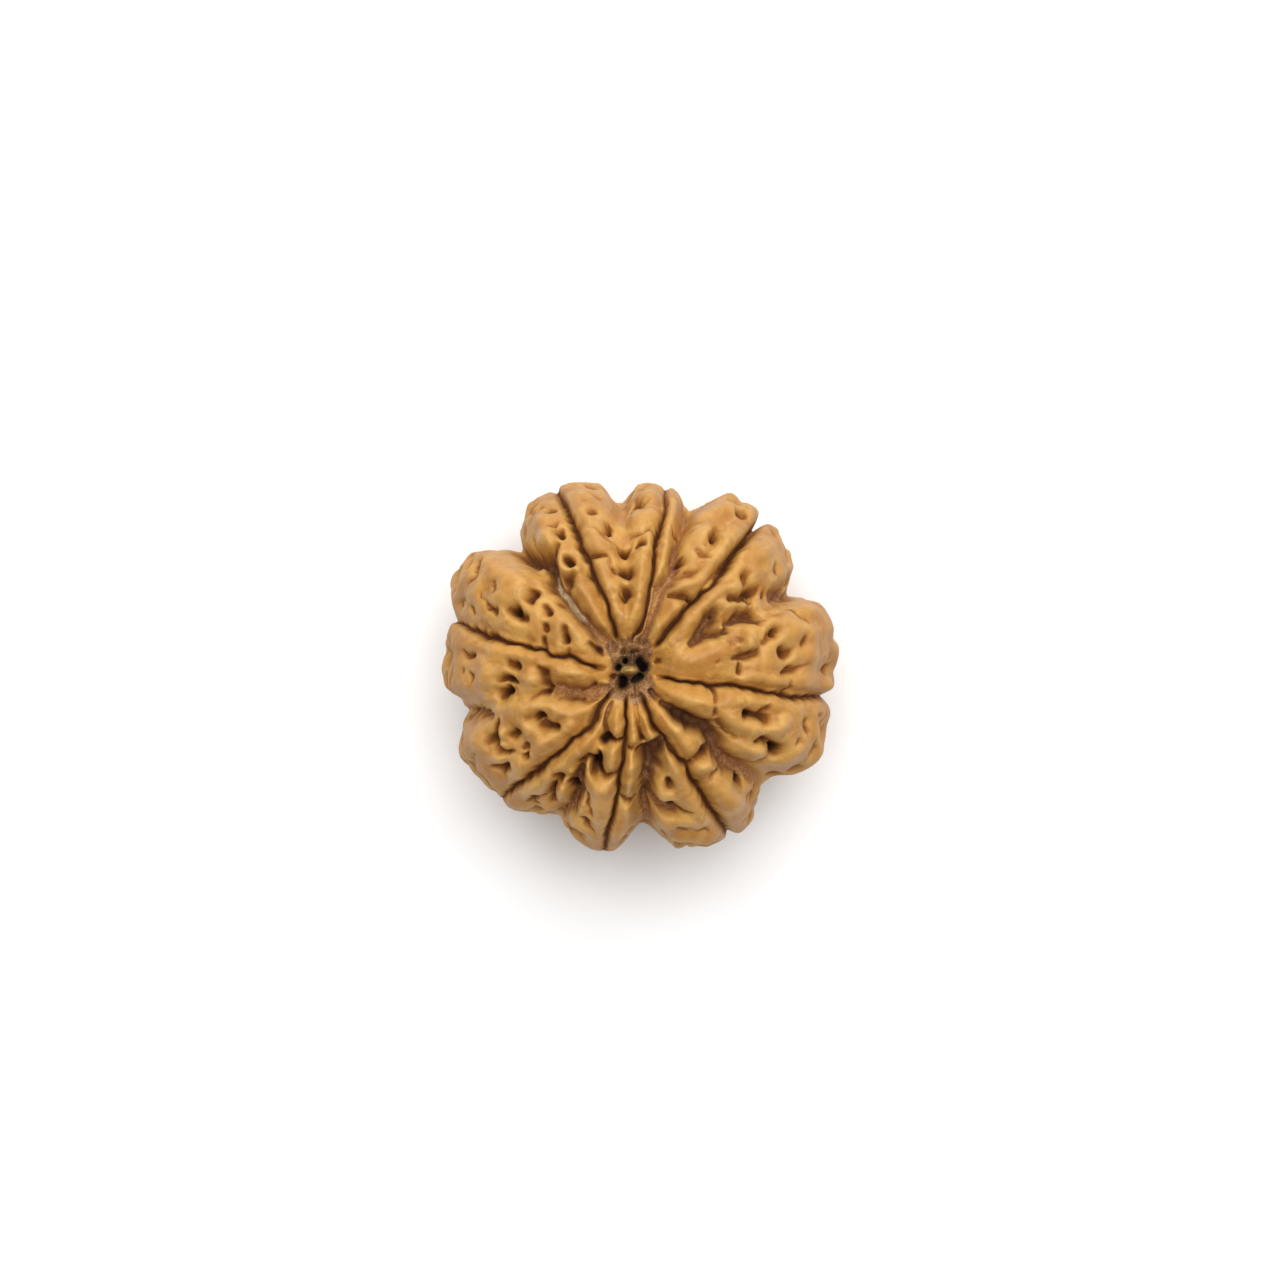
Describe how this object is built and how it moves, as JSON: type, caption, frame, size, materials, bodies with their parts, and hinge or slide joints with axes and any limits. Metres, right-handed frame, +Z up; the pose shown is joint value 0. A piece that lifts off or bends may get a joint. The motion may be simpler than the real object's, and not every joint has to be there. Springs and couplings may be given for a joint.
{
  "type": "rudraksha seed",
  "caption": "Dried rudraksha seed with lobed, ridged and pitted woody surface, seams from pole to pole and a crater at each pole.",
  "frame": {"origin": "the middle of the seed's box in plan, on the surface it rests on", "axes": "+Z up along the axis of the two poles, the seed's shortest way; +X along its longest way, between the two widest lobes; +Y towards the lobe beside which the deep upper-left valley runs"},
  "size_m": [0.0248, 0.023, 0.0191],
  "materials": {
    "seed_shell": "satin"
  },
  "bodies": {
    "root": {"rudraksha_seed": "seed_shell"}
  },
  "joints": []
}
